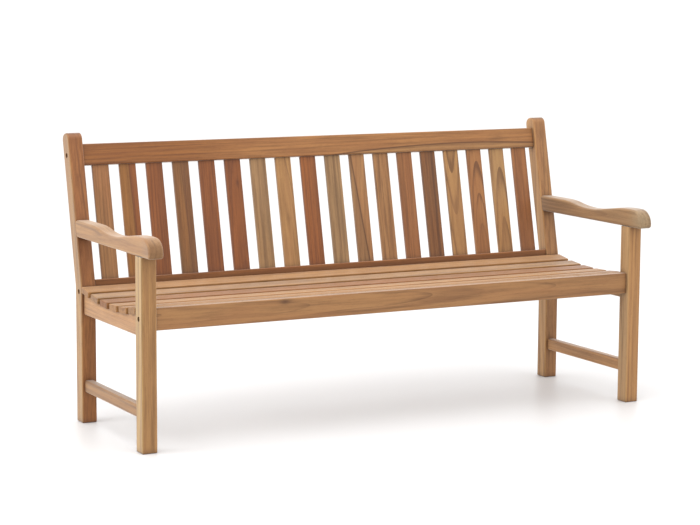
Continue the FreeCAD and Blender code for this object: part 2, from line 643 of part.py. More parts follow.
def stretcher(doc, name, side):
    """Low side rail with a tenon at each end."""
    body = new_body(doc, "side_stretcher_" + name)
    section = new_sketch(body, "section", "XZ_Plane", "0", "stretcher_height / 2")
    rectangle(section, "side_board_thickness", "stretcher_height")
    add_pad(body, "board", section, "side_length", backwards=True)
    round_edges(body, "soft_edges", "side_board_rounding", lambda e: runs_along(e, (0, 1, 0)))
    end_tenons(body, "stretcher_tenon_height", "stretcher_height / 2",
               "side_length", "side_tenon_depth")
    place(body, leg_x(side), "front_leg_depth", "stretcher_bottom")
    return body


def end_tenons(body, height, middle, length, depth):
    """Thin tenons on the front and back ends of a board that runs front to back."""
    size = ("side_tenon_thickness", height)
    box_joint(body, "front_tenon", "XZ_Plane", size, ("0", middle), "0", depth, True, True)
    box_joint(body, "rear_tenon", "XZ_Plane", size, ("0", middle), "-1 * " + length,
              depth, True, False)


def dished_outline(sketch, dims, start, length, least):
    """Side view of a board whose top edge carries the dished seat."""
    dip = dims["dish_back"] - dims[start]
    lowest = dims[least]
    front_radius = dims["dish_front_radius"]
    rear_radius = dims["dish_rear_radius"]
    end = dims[length]
    front_centre = Vector(dip, lowest + front_radius, 0)
    rear_centre = Vector(dip, lowest + rear_radius, 0)
    front_rise = math.asin(dip / front_radius)
    rear_rise = math.asin((end - dip) / rear_radius)
    down = -math.pi / 2
    front_top = front_centre.y - front_radius * math.cos(front_rise)
    rear_top = rear_centre.y - rear_radius * math.cos(rear_rise)
    upward = Vector(0, 0, 1)
    sketch.addGeometry(Part.LineSegment(Vector(0, 0, 0), Vector(end, 0, 0)), False)
    sketch.addGeometry(Part.LineSegment(Vector(end, 0, 0), Vector(end, rear_top, 0)), False)
    sketch.addGeometry(Part.ArcOfCircle(
        Part.Circle(rear_centre, upward, rear_radius), down, down + rear_rise), False)
    sketch.addGeometry(Part.ArcOfCircle(
        Part.Circle(front_centre, upward, front_radius), down - front_rise, down), False)
    sketch.addGeometry(Part.LineSegment(Vector(0, front_top, 0), Vector(0, 0, 0)), False)
    for first, first_end, second, second_end in (
            (0, 2, 1, 1), (1, 2, 2, 2), (2, 1, 3, 2), (3, 1, 4, 1), (4, 2, 0, 1)):
        sketch.addConstraint(
            Sketcher.Constraint("Coincident", first, first_end, second, second_end))
    sketch.addConstraint(Sketcher.Constraint("Coincident", 0, 1, -1, 1))
    sketch.addConstraint(Sketcher.Constraint("Horizontal", 0))
    sketch.addConstraint(Sketcher.Constraint("Vertical", 1))
    sketch.addConstraint(Sketcher.Constraint("Vertical", 4))
    dimension(sketch, "DistanceX", (-1, 1, 0, 2), end, "length", length)
    dimension(sketch, "Radius", (2,), rear_radius, "rear_dish", "dish_rear_radius")
    dimension(sketch, "Radius", (3,), front_radius, "front_dish", "dish_front_radius")
    dimension(sketch, "DistanceX", (-1, 1, 2, 3), dip, "rear_centre", "dish_back - " + start)
    dimension(sketch, "DistanceX", (-1, 1, 3, 3), dip, "front_centre", "dish_back - " + start)
    dimension(sketch, "DistanceX", (-1, 1, 2, 1), dip, "dip_across", "dish_back - " + start)
    dimension(sketch, "DistanceY", (-1, 1, 2, 1), lowest, "dip_up", least)


def screw_holes(body, start, bottom):
    """Recess and clearance hole below every seat slat, drilled up from the underside."""
    for number in SEAT_SLATS:
        across = "seat_slat_%d_back - %s" % (number, start)
        seat = "seat_slat_%d_screw_seat - %s + cutter_lead" % (number, bottom)
        drill(body, "screw_recess_%d" % number, "slat_screw_recess_radius", seat,
              ("0", across, "-1 * cutter_lead"))
        drill(body, "screw_hole_%d" % number, "slat_screw_hole_radius", "cutter_through",
              ("0", across, "-1 * cutter_lead"))


def side_rail(doc, name, side, dims):
    """Rail below the ends of the seat slats, between front and rear leg."""
    body = new_body(doc, "side_rail_" + name)
    outline = new_sketch(body, "outline", "YZ_Plane")
    dished_outline(outline, dims, "front_leg_depth", "side_length", "side_rail_dish")
    add_pad(body, "board", outline, "side_board_thickness", symmetric=True)
    round_edges(body, "soft_edges", "side_board_rounding",
                lambda e: runs_along(e, (0, 1, 0)) and lies_low(e))
    end_tenons(body, "side_rail_tenon_height", "side_rail_tenon_middle",
               "side_length", "side_tenon_depth")
    screw_holes(body, "front_leg_depth", "side_rail_bottom")
    place(body, leg_x(side), "front_leg_depth", "side_rail_bottom")
    return body


def seat_bearer(doc, name, side, dims):
    """Hidden cross-member between front and rear rail that holds up the seat slats."""
    body = new_body(doc, "seat_bearer_" + name)
    outline = new_sketch(body, "outline", "YZ_Plane")
    dished_outline(outline, dims, "bearer_start", "bearer_length", "bearer_dish")
    add_pad(body, "board", outline, "side_board_thickness", symmetric=True)
    round_edges(body, "soft_edges", "board_rounding",
                lambda e: runs_along(e, (0, 1, 0)) and lies_low(e))
    end_tenons(body, "bearer_tenon_height", "bearer_tenon_middle",
               "bearer_length", "bearer_tenon_depth")
    screw_holes(body, "bearer_start", "bearer_bottom")
    place(body, "bearer_spacing / %d" % (2 * side), "bearer_start", "bearer_bottom")
    return body


def long_rail(doc, label, thickness, height, rounding, draw_section=rectangle):
    """Board along the bench with a stub tenon at each end, centred on its own origin."""
    body = new_body(doc, label)
    section = new_sketch(body, "section", "YZ_Plane")
    draw_section(section, thickness, height)
    add_pad(body, "board", section, "rails_length", symmetric=True)
    round_edges(body, "soft_edges", rounding, lambda e: runs_along(e, (1, 0, 0)))
    round_edges(body, "soft_ends", "rail_end_rounding", lambda e: not runs_along(e, (1, 0, 0)))
    tenons = new_sketch(body, "tenon_section", "YZ_Plane")
    rectangle(tenons, "stub_tenon_thickness", height + " - 2 * stub_tenon_margin")
    add_pad(body, "stub_tenons", tenons, "rails_length + 2 * stub_tenon_length", symmetric=True)
    return body


def rail_fixings(body, thickness, bolt_up):
    """Bolt hole in each end of a long rail and the barrel nut's hole in its back face."""
    for name, side in SIDES:
        end = "rails_length / %d" % (2 * side)
        tip = "%s + stub_tenon_length * %d" % (end, side)
        round_hole(body, "bolt_hole_" + name, "YZ_Plane", "bolt_hole_radius", ("0", bolt_up),
                   tip, "bolt_hole_overrun + stub_tenon_length", side < 0)
        nut_x = "%s - barrel_nut_inset * %d" % (end, side)
        round_hole(body, "nut_hole_" + name, "XZ_Plane", "barrel_nut_radius", (nut_x, bolt_up),
                   "%s / -2" % thickness, "( %s + barrel_nut_length ) / 2" % thickness, True)


def bearer_mortises(body, bottom, height, back_face, thickness):
    """Mortises for the two seat bearers in a rail's back or front face."""
    up = "bearer_bottom + bearer_tenon_middle - %s - %s / 2" % (bottom, height)
    sign = -2 if back_face else 2
    for name, side in SIDES:
        box_joint(body, "bearer_mortise_" + name, "XZ_Plane",
                  ("side_tenon_thickness", "bearer_tenon_height"),
                  ("bearer_spacing / %d" % (2 * side), up), "%s / %d" % (thickness, sign),
                  "bearer_tenon_depth", False, back_face)


def back_slat_mortises(body, back, up, lean):
    """Row of mortises for the back slats, cut along the lean of the back."""
    first = "( back_slat_count - 1 ) * back_slat_pitch / -2"
    sketch = new_sketch(body, "slat_mortise_outline", "XY_Plane", first, back, up)
    if lean:
        tilt_sketch(sketch, (-1, 0, 0), "rake_angle")
    rectangle(sketch, "back_slat_width", "back_slat_thickness")
    return sketch


def repeat_slat_mortise(body, mortise):
    """Repeats the first mortise for every back slat."""
    pattern = body.newObject("PartDesign::LinearPattern", "slat_mortises")
    pattern.Originals = [mortise]
    axis = next(f for f in body.Origin.OriginFeatures if f.Role == "X_Axis")
    pattern.Direction = (axis, [""])
    bind(pattern, "Length", "( back_slat_count - 1 ) * back_slat_pitch")
    bind(pattern, "Occurrences", "back_slat_count")
    body.Tip = pattern


def front_rail(doc):
    """Long rail across the front of the seat."""
    body = long_rail(doc, "front_rail", "long_rail_thickness", "front_rail_height",
                     "board_rounding")
    middle = "front_rail_bottom + front_rail_height / 2"
    bearer_mortises(body, "front_rail_bottom", "front_rail_height", True, "long_rail_thickness")
    rail_fixings(body, "long_rail_thickness", "front_bolt_height - front_rail_bottom "
                 "- front_rail_height / 2")
    place(body, "0", "front_rail_back + long_rail_thickness / 2", middle)
    return body


def rear_rail(doc):
    """Long rail behind the seat; the back slats stand in its top edge."""
    body = long_rail(doc, "rear_rail", "rear_rail_thickness", "rear_rail_height",
                     "board_rounding", bevelled_rectangle)
    bearer_mortises(body, "rear_rail_bottom", "rear_rail_height", False, "rear_rail_thickness")
    rail_fixings(body, "rear_rail_thickness", "rear_bolt_height - rear_rail_bottom "
                 "- rear_rail_height / 2")
    run = "back_slat_bury"
    back = ("back_slat_foot_back - rear_rail_back - rear_rail_thickness / 2"
            " + sin( rake_angle * 1deg ) * " + run)
    up = ("back_slat_foot_height - rear_rail_bottom - rear_rail_height / 2"
          " + cos( rake_angle * 1deg ) * " + run)
    sketch = back_slat_mortises(body, back, up, True)
    mortise = add_pocket(body, "slat_mortise", sketch, "back_slat_bury + " + run)
    repeat_slat_mortise(body, mortise)
    place(body, "0", "rear_rail_back + rear_rail_thickness / 2",
          "rear_rail_bottom + rear_rail_height / 2")
    return body


def top_rail(doc):
    """Long rail that closes the back at the top, square to the leaning posts."""
    body = long_rail(doc, "top_rail", "long_rail_thickness", "top_rail_height",
                     "top_rail_rounding")
    rail_fixings(body, "long_rail_thickness", "0")
    sketch = back_slat_mortises(body, "0", "top_rail_height / -2", False)
    mortise = add_pocket(body, "slat_mortise", sketch, "back_slat_bury", forwards=True)
    repeat_slat_mortise(body, mortise)
    turn(body, (-1, 0, 0), "rake_angle")
    place(body, "0", "top_rail_back", "top_rail_middle_height")
    return body


def seat_slat(doc, number, dims):
    """Seat board lying on the dished rails, drilled from below for its screws."""
    name = "seat_slat_%d_" % number
    ahead = dims[name + "back"] < dims["dish_back"]
    lean = -1 if ahead else 1
    body = new_body(doc, "seat_slat_%d" % number)
    section = new_sketch(body, "section", "YZ_Plane", "0", "seat_slat_thickness / 2")
    rectangle(section, name + "width", "seat_slat_thickness")
    add_pad(body, "board", section, "seat_slat_length", symmetric=True)
    round_edges(body, "soft_edges", "slat_rounding", lambda e: True)
    slope = name + "slope * 1deg"
    start_y = "-1 * cutter_lead * sin( %s ) * %d" % (slope, lean)
    start_z = "-1 * cutter_lead * cos( %s )" % slope
    for spread_name, spread in (("rail", "( bench_length - leg_width )"),
                                ("bearer", "bearer_spacing")):
        for side_name, side in SIDES:
            drill(body, "pilot_%s_%s" % (spread_name, side_name), "pilot_radius",
                  "pilot_depth + cutter_lead",
                  ("%s / %d" % (spread, 2 * side), start_y, start_z),
                  (-lean, 0, 0), name + "slope")
    turn(body, (lean, 0, 0), name + "slope")
    place(body, "0", name + "back", name + "underside")
    return body


def back_slat(doc, index):
    """Flat upright board of the back, standing in the rear rail and the top rail."""
    body = new_body(doc, "back_slat_%02d" % (index + 1))
    section = new_sketch(body, "section", "XY_Plane")
    rectangle(section, "back_slat_width", "back_slat_thickness")
    add_pad(body, "board", section, "back_slat_length")
    round_edges(body, "soft_edges", "back_slat_rounding", lambda e: runs_along(e, (0, 0, 1)))
    turn(body, (-1, 0, 0), "rake_angle")
    place(body, "( %d - ( back_slat_count - 1 ) / 2 ) * back_slat_pitch" % index,
          "back_slat_foot_back - sin( rake_angle * 1deg ) * back_slat_bury",
          "back_slat_foot_height - cos( rake_angle * 1deg ) * back_slat_bury")
    return body


def bolt_form(doc):
    """One frame bolt: shank down, socket head up, bearing face at the origin."""
    body = new_body(doc, "bolt_form")
    profile = new_sketch(body, "profile", "XZ_Plane", "0", "-1 * bolt_length")
    head_top = "bolt_length + bolt_head_height"
    polygon(profile, [
        (None, None),
        ("bolt_radius - bolt_bevel", None),
        ("bolt_radius", "bolt_bevel"),
        ("bolt_radius", "bolt_length"),
        ("bolt_head_radius", "bolt_length"),
        ("bolt_head_radius", head_top + " - bolt_bevel"),
        ("bolt_head_radius - bolt_bevel", head_top),
        (None, head_top),
    ])
    turned = body.newObject("PartDesign::Revolution", "turned")
    turned.Profile = profile
    turned.ReferenceAxis = (profile, ["V_Axis"])
    socket = new_sketch(body, "socket_outline", "XY_Plane", "0", "0", "bolt_head_height")
    hexagon(socket, "bolt_socket_width")
    add_pocket(body, "socket", socket, "bolt_socket_depth")
    return body


def screw_form(doc):
    """One slat screw: point up, pan head down, bearing face at the origin."""
    body = new_body(doc, "screw_form")
    profile = new_sketch(body, "profile", "XZ_Plane", "0", "-1 * slat_screw_head_height")
    tip = "slat_screw_head_height + slat_screw_length"
    polygon(profile, [
        (None, None),
        ("slat_screw_crown_radius", None),
        ("slat_screw_head_radius", "slat_screw_head_height / 2"),
        ("slat_screw_head_radius", "slat_screw_head_height"),
        ("slat_screw_radius", "slat_screw_head_height"),
        ("slat_screw_radius", tip + " - slat_screw_point"),
        (None, tip),
    ])
    turned = body.newObject("PartDesign::Revolution", "turned")
    turned.Profile = profile
    turned.ReferenceAxis = (profile, ["V_Axis"])
    return body


def cylinder(doc, name, radius, height, bottom):
    solid = doc.addObject("Part::Cylinder", name)
    bind(solid, "Radius", radius)
    bind(solid, "Height", height)
    bind(solid, "Placement.Base.z", bottom)
    return solid


def washer_form(doc):
    """One flat washer, lying with its inner face at the origin."""
    disc = cylinder(doc, "washer_disc", "washer_radius", "washer_thickness", "0")
    bore = cylinder(doc, "washer_bore", "washer_bore_radius", "cutter_through",
                    "-1 * cutter_lead")
    cut = doc.addObject("Part::Cut", "washer_form")
    cut.Base = disc
    cut.Tool = bore
    return cut


def nut_form(doc):
    """One barrel nut across its rail, with a bolt hole along X and a slot on top."""
    barrel = cylinder(doc, "nut_barrel", "barrel_nut_radius", "barrel_nut_length",
                      "barrel_nut_length / -2")
    bore = cylinder(doc, "nut_bore", "barrel_nut_bore_radius", "cutter_through", "0")
    bore.Placement = Placement(Vector(), Rotation(Vector(0, 1, 0), 90))
    bind(bore, "Placement.Base.x", "cutter_through / -2")
    slot = doc.addObject("Part::Box", "nut_slot")
    bind(slot, "Length", "cutter_through")
    bind(slot, "Width", "barrel_nut_slot")
    bind(slot, "Height", "barrel_nut_slot + cutter_lead")
    bind(slot, "Placement.Base.x", "cutter_through / -2")
    bind(slot, "Placement.Base.y", "barrel_nut_slot / -2")
    bind(slot, "Placement.Base.z", "barrel_nut_length / 2 - barrel_nut_slot")
    drilled = doc.addObject("Part::Cut", "nut_drilled")
    drilled.Base = barrel
    drilled.Tool = bore
    cut = doc.addObject("Part::Cut", "nut_form")
    cut.Base = drilled
    cut.Tool = slot
    return cut


def copies(doc, label, form, spots):
    """One part made of separate copies of a form, one per spot."""
    links = []
    for number, (x, y, z, axis, angle) in enumerate(spots, start=1):
        link = doc.addObject("App::Link", "%s_%d" % (label, number))
        link.LinkedObject = form
        if axis is not None:
            link.Placement = Placement(Vector(), Rotation(Vector(*axis), 1))
            bind(link, "Placement.Rotation.Angle", angle)
        place(link, x, y, z)
        links.append(link)
    group = doc.addObject("Part::Compound", label)
    group.Label = label
    group.Links = links
    return group


def bolt_spots():
    """Where the frame bolts' axes run: row name, distance back and height."""
    backs = {
        "front": "front_rail_back + long_rail_thickness / 2",
        "rear": "rear_rail_back + rear_rail_thickness / 2",
        "top": "top_rail_back",
    }
    heights = {
        "front": "front_bolt_height",
        "rear": "rear_bolt_height",
        "top": "top_rail_middle_height",
    }
    return [(row, side, backs[row], heights[row]) for row in BOLT_ROWS for _, side in SIDES]


def frame_hardware(doc):
    """Bolts, washers and barrel nuts that hold the long rails between the side frames."""
    floor = "( bench_length / 2 - counterbore_depth )"
    seat = "( bench_length / 2 - counterbore_depth + washer_thickness )"
    nut_x = "( rails_length / 2 - barrel_nut_inset )"
    bolts = []
    washers = []
    nuts = []
    for row, side, back, height in bolt_spots():
        outward = (0, side, 0)
        bolts.append(("%s * %d" % (seat, side), back, height, outward, "90"))
        washers.append(("%s * %d" % (floor, side), back, height, outward, "90"))
        turned = "90 + rake_angle" if row == "top" else "90"
        nuts.append(("%s * %d" % (nut_x, side), back, height, (-1, 0, 0), turned))
    return [
        copies(doc, "frame_bolts", bolt_form(doc), bolts),
        copies(doc, "bolt_washers", washer_form(doc), washers),
        copies(doc, "barrel_nuts", nut_form(doc), nuts),
    ]


def slat_screws(doc):
    """Screws driven up through side rails and bearers into every seat slat."""
    spots = []
    for number in SEAT_SLATS:
        name = "seat_slat_%d_" % number
        for spread in ("( bench_length - leg_width )", "bearer_spacing"):
            for _, side in SIDES:
                spots.append(("%s / %d" % (spread, 2 * side), name + "back",
                              name + "screw_seat", None, None))
    return copies(doc, "slat_screws", screw_form(doc), spots)


def check_document(doc):
    """Stops with a message when a feature failed or a cut removed nothing."""
    for obj in doc.Objects:
        if "Invalid" in obj.State or "Error" in obj.State:
            raise RuntimeError("%s is %s" % (obj.Name, obj.State))
        if obj.TypeId == "PartDesign::Pocket" or "Subtractive" in obj.TypeId:
            if obj.Shape.Volume > obj.BaseFeature.Shape.Volume - LEAST_CUT:
                raise RuntimeError("%s cuts nothing" % obj.Name)


def export(parts):
    """Writes one STEP file per part, named by its label."""
    for part in parts:
        if part.Shape.isNull() or not part.Shape.isValid():
            raise RuntimeError("%s has no valid shape" % part.Label)
    os.makedirs("parts", exist_ok=True)
    for part in parts:
        part.Shape.exportStep("parts/%s.step" % part.Label)


def build():
    doc = FreeCAD.newDocument("garden_bench")
    dims = make_sheet(doc)
    parts = []
    for name, side in SIDES:
        parts.append(front_leg(doc, name, side))
        parts.append(rear_leg(doc, name, side, dims))
        parts.append(armrest(doc, name, side, dims))
        parts.append(side_rail(doc, name, side, dims))
        parts.append(stretcher(doc, name, side))
        parts.append(seat_bearer(doc, name, side, dims))
    parts.extend([front_rail(doc), rear_rail(doc), top_rail(doc)])
    parts.extend(seat_slat(doc, number, dims) for number in SEAT_SLATS)
    parts.extend(back_slat(doc, index) for index in range(int(dims["back_slat_count"])))
    parts.extend(frame_hardware(doc))
    parts.append(slat_screws(doc))
    doc.recompute()
    check_document(doc)
    export(parts)
    box = Part.makeCompound([part.Shape for part in parts]).BoundBox
    print("bench %.2f x %.2f x %.2f mm, y %.3f to %.3f, z from %.3f, %d parts" % (
        box.XLength, box.YLength, box.ZLength, box.YMin, box.YMax, box.ZMin, len(parts)))


build()
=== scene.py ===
import math

import bpy
from mathutils import Euler, Matrix, Vector


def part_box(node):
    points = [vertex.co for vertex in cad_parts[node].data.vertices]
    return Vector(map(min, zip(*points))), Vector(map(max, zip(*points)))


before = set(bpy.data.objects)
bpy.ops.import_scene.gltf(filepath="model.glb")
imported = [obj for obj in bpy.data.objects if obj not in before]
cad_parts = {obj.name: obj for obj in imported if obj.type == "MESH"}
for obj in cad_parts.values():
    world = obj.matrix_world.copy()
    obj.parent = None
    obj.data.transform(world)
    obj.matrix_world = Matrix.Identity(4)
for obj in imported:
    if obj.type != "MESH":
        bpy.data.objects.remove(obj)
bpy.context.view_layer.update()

# Looks for a teak garden bench: every CAD board keeps its shape and gets solid wood whose
# growth rings run through it, so faces, edges and end grain belong to one piece of timber.

LEAN = math.radians(12.6)  # of the back's boards from upright


def linear(*screen_color):
    """Linear colour from the usual 0 to 255 screen values, none of them near black."""
    return tuple(((part / 255 + 0.055) / 1.055) ** 2.4 for part in screen_color)


class Net:
    """A node tree with short calls for adding and joining nodes."""

    def __init__(self, tree):
        self.tree = tree

    def add(self, kind, **settings):
        node = self.tree.nodes.new(kind)
        for name, value in settings.items():
            setattr(node, name, value)
        return node

    def feed(self, socket, value):
        """Links an output to a socket, or sets the socket's own value."""
        if isinstance(value, bpy.types.NodeSocket):
            self.tree.links.new(value, socket)
        elif socket.type == "RGBA" and len(value) == 3:
            socket.default_value = (*value, 1)
        else:
            socket.default_value = value

    def calc(self, operation, *values, clamp=False):
        node = self.add("ShaderNodeMath", operation=operation, use_clamp=clamp)
        for socket, value in zip(node.inputs, values):
            self.feed(socket, value)
        return node.outputs[0]

    def total(self, *values):
        """Sum of any number of values."""
        result = values[0]
        for value in values[1:]:
            result = self.calc("ADD", result, value)
        return result

    def vector(self, operation, a, b):
        node = self.add("ShaderNodeVectorMath", operation=operation)
        self.feed(node.inputs[0], a)
        self.feed(node.inputs[1], b)
        return node.outputs["Value" if operation == "DOT_PRODUCT" else "Vector"]

    def split(self, value):
        node = self.add("ShaderNodeSeparateXYZ")
        self.feed(node.inputs[0], value)
        return node.outputs

    def step(self, value, low, high):
        """0 below one limit, 1 above the other, smooth between."""
        node = self.add("ShaderNodeMapRange", interpolation_type="SMOOTHSTEP")
        self.feed(node.inputs["Value"], value)
        self.feed(node.inputs["From Min"], low)
        self.feed(node.inputs["From Max"], high)
        return node.outputs["Result"]

    def mix(self, factor, a, b, blend="MIX"):
        node = self.add("ShaderNodeMix", data_type="RGBA", blend_type=blend)
        node.clamp_factor = True
        self.feed(node.inputs["Factor"], factor)
        colors = [socket for socket in node.inputs if socket.type == "RGBA"]
        self.feed(colors[0], a)
        self.feed(colors[1], b)
        return next(socket for socket in node.outputs if socket.type == "RGBA")

    def noise(self, where, seed, detail=2.0, roughness=0.5):
        """Four-dimensional noise, about 0.5 on average, with its colour as a second output."""
        node = self.add("ShaderNodeTexNoise", noise_dimensions="4D")
        self.feed(node.inputs["Vector"], where)
        self.feed(node.inputs["W"], seed)
        self.feed(node.inputs["Scale"], 1.0)
        self.feed(node.inputs["Detail"], detail)
        self.feed(node.inputs["Roughness"], roughness)
        return node.outputs

    def line_noise(self, along, detail=2.0):
        """Noise that changes with one number only."""
        node = self.add("ShaderNodeTexNoise", noise_dimensions="1D")
        self.feed(node.inputs["W"], along)
        self.feed(node.inputs["Scale"], 1.0)
        self.feed(node.inputs["Detail"], detail)
        return node.outputs[0]


FIGURE_INPUTS = (
    # name, socket kind, value when a board says nothing
    ("Place", "Vector", (0, 0, 0)),       # metres in the board: along the grain, across, through
    ("Along", "Vector", (1, 0, 0)),       # direction of the grain in the object
    ("Seed", "Float", 0.0),
    ("Light", "Color", (0.5, 0.3, 0.15)),
    ("Dark", "Color", (0.2, 0.1, 0.05)),
    ("Pith Across", "Float", 0.2),        # where the tree's middle lies, from the board's
    ("Pith Through", "Float", 0.05),
    ("Tilt Across", "Float", 0.0),        # how fast it drifts along the grain
    ("Tilt Through", "Float", 0.0),
    ("Ring Width", "Float", 0.0045),
    ("Wander", "Float", 0.014),           # waviness of the rings, metres
    ("Bands", "Float", 0.55),
    ("Rings", "Float", 0.6),
    ("Streaks", "Float", 0.55),
    ("Blush", "Color", (0.45, 0.2, 0.1)),  # colour of the cloudy patches
    ("Blush Share", "Float", 0.5),
    ("Vein At", "Float", 1.0),            # a dark vein: across = at + slope u + bow u squared
    ("Vein Slope", "Float", 0.0),
    ("Vein Bow", "Float", 0.0),
    ("Vein Width", "Float", 0.0018),
    ("Vein Share", "Float", 0.0),
    # on a leg, Side Tint is painted light on the left face
    ("Side Tint", "Color", (1, 1, 1)),    # multiplies the wood on the low side of the vein
    ("Side Share", "Float", 0.0),
    ("Far Tint", "Color", (1, 1, 1)),     # multiplies the wood beyond a place along the grain
    ("Far At", "Float", 9.0),
    ("Far Reach", "Float", 0.1),
    ("Knot U", "Float", 9.0),
    ("Knot V", "Float", 9.0),
    ("Knot Radius", "Float", 0.006),
    ("Knot Share", "Float", 0.0),
    ("End Share", "Float", 0.45),         # darkening of end grain
)


# Scales of the noises along the grain and across it, per metre.
WOBBLE = (2.2, 7.0)
STREAK = (5.0, 150.0)
FIBRE = (16.0, 520.0)
CLOUD = (4.0, 26.0)
PORE = (60.0, 1500.0)

# How fast bands and dark rings come and go: per ring, and per unit of the board's seed.
BAND_CHANGE = (0.42, 13.7)
RING_CHANGE = (0.9, 5.1)

KNOT_SQUEEZE = 0.45         # width of a knot against its length along the grain
SWIRL_PUSH = 1.2            # how far a knot pushes the rings aside
SWIRL_FADE = 0.45           # per knot radius
DEEPER = (0.55, 0.5, 0.45)  # veins, knots, pores, and the painted shade in corners and gaps, against late wood
PAINTED_SHADE_REACH = 0.03         # how far from a joint the painted shade begins, metres
PAINTED_SHADE_DEPTH = 0.75         # how deep the painted shade is in the joint itself


def wood_group():
    """Node group that turns a place in a board into the look of its wood there."""
    tree = bpy.data.node_groups.new("wood_figure", "ShaderNodeTree")
    net = Net(tree)
    for name, kind, value in FIGURE_INPUTS:
        socket = tree.interface.new_socket(name, in_out="INPUT", socket_type="NodeSocket" + kind)
        socket.default_value = (*value, 1) if kind == "Color" else value
    for name, kind in (("Color", "Color"), ("Roughness", "Float"), ("Height", "Float")):
        tree.interface.new_socket(name, in_out="OUTPUT", socket_type="NodeSocket" + kind)
    given = net.add("NodeGroupInput").outputs
    seed = given["Seed"]
    u, v, w = net.split(given["Place"])

    def stretched(scale):
        along, across = scale
        return net.vector("MULTIPLY", given["Place"], (along, across, across))

    def course_of(change):
        """Where bands or dark rings stand in their own noise."""
        per_ring, per_seed = change
        return net.total(net.calc("MULTIPLY", rings, per_ring), net.calc("MULTIPLY", seed, per_seed))

    def bell(distance):
        """1 at no distance, falling away smoothly on both sides."""
        squared = net.calc("MULTIPLY", distance, distance)
        return net.calc("EXPONENT", net.calc("MULTIPLY", squared, -1.0))

    def varied(noise):
        """Noise moved to lie about zero."""
        return net.calc("SUBTRACT", noise, 0.5)

    # the grain swirls round a knot and darkens in it
    knot_u = net.calc("SUBTRACT", u, given["Knot U"])
    knot_v = net.calc("SUBTRACT", v, given["Knot V"])
    squeezed = net.calc("MULTIPLY", knot_u, KNOT_SQUEEZE)
    away = net.calc("SQRT", net.total(net.calc("MULTIPLY", squeezed, squeezed),
                                      net.calc("MULTIPLY", knot_v, knot_v)))
    radii_away = net.calc("DIVIDE", away, given["Knot Radius"])
    knot = net.calc("MULTIPLY", given["Knot Share"], bell(radii_away))
    swirl = net.calc("MULTIPLY", net.calc("MULTIPLY", knot_v, given["Knot Share"]),
                     net.calc("EXPONENT", net.calc("MULTIPLY", radii_away, -SWIRL_FADE)))

    # growth rings round a wandering pith
    wobble = net.split(net.noise(stretched(WOBBLE), seed)[1])
    sway = [net.calc("MULTIPLY", varied(part), given["Wander"]) for part in wobble]
    across = net.total(v, sway[0], net.calc("MULTIPLY", swirl, -SWIRL_PUSH),
                       net.calc("MULTIPLY", given["Pith Across"], -1.0),
                       net.calc("MULTIPLY", net.calc("MULTIPLY", given["Tilt Across"], u), -1.0))
    through = net.total(w, sway[1], net.calc("MULTIPLY", given["Pith Through"], -1.0),
                        net.calc("MULTIPLY", net.calc("MULTIPLY", given["Tilt Through"], u), -1.0))
    radius = net.calc("SQRT", net.total(net.calc("MULTIPLY", across, across),
                                        net.calc("MULTIPLY", through, through)))
    rings = net.calc("DIVIDE", radius, given["Ring Width"])
    bands = net.step(net.line_noise(course_of(BAND_CHANGE), detail=2.0), 0.3, 0.72)
    ring_strength = net.step(net.line_noise(course_of(RING_CHANGE), detail=1.0), 0.32, 0.68)
    late_wood = net.calc("MULTIPLY", net.calc("POWER", net.calc("FRACT", rings), 3.0),
                         ring_strength)

    # streaks, clouds and pores drawn out along the grain
    streak = net.step(net.noise(stretched(STREAK), seed, detail=3.0, roughness=0.6)[0], 0.32, 0.68)
    fibre = net.noise(stretched(FIBRE), seed, detail=2.0, roughness=0.6)[0]
    cloud = net.step(net.noise(stretched(CLOUD), net.total(seed, 7.0), detail=3.0)[0], 0.4, 0.66)
    pore = net.step(net.noise(stretched(PORE), net.total(seed, 11.0), detail=1.0)[0], 0.57, 0.7)

    darkness = net.total(net.calc("MULTIPLY", bands, given["Bands"]),
                         net.calc("MULTIPLY", late_wood, given["Rings"]),
                         net.calc("MULTIPLY", varied(streak), given["Streaks"]),
                         net.calc("MULTIPLY", varied(fibre), 0.5))
    color = net.mix(net.calc("MAXIMUM", darkness, 0.0), given["Light"], given["Dark"])
    color = net.mix(net.calc("MULTIPLY", cloud, given["Blush Share"]), color, given["Blush"])

    # colour that changes along the board
    beyond = net.step(net.total(u, net.calc("MULTIPLY", sway[2], 6.0)),
                      net.calc("SUBTRACT", given["Far At"], given["Far Reach"]),
                      net.total(given["Far At"], given["Far Reach"]))
    color = net.mix(beyond, color, net.mix(1.0, color, given["Far Tint"], "MULTIPLY"))

    # one dark vein, with differently coloured wood on its low side
    course = net.total(given["Vein At"], net.calc("MULTIPLY", given["Vein Slope"], u),
                       net.calc("MULTIPLY", given["Vein Bow"], net.calc("MULTIPLY", u, u)),
                       net.calc("MULTIPLY", sway[2], 0.45))
    off_vein = net.calc("SUBTRACT", v, course)
    low_side = net.calc("SUBTRACT", 1.0, net.step(off_vein, -0.004, 0.002))
    tinted = net.mix(1.0, color, given["Side Tint"], "MULTIPLY")
    color = net.mix(net.calc("MULTIPLY", low_side, given["Side Share"]), color, tinted)
    widths_away = net.calc("DIVIDE", off_vein, given["Vein Width"])
    vein = net.calc("MULTIPLY", given["Vein Share"], bell(widths_away))
    deep = net.mix(1.0, given["Dark"], DEEPER, "MULTIPLY")
    color = net.mix(vein, color, deep)
    color = net.mix(knot, color, deep)
    color = net.mix(net.calc("MULTIPLY", pore, 0.3), color, deep)

    # painted shade: the wood darkens where boards meet and in the gaps between them
    corner = net.add("ShaderNodeAmbientOcclusion", samples=8)
    corner.inputs["Distance"].default_value = PAINTED_SHADE_REACH
    shade = net.step(corner.outputs["AO"], 0.25, 0.95)
    painted_shade = net.calc("MULTIPLY", net.calc("SUBTRACT", 1.0, shade), PAINTED_SHADE_DEPTH)
    color = net.mix(painted_shade, color, deep)

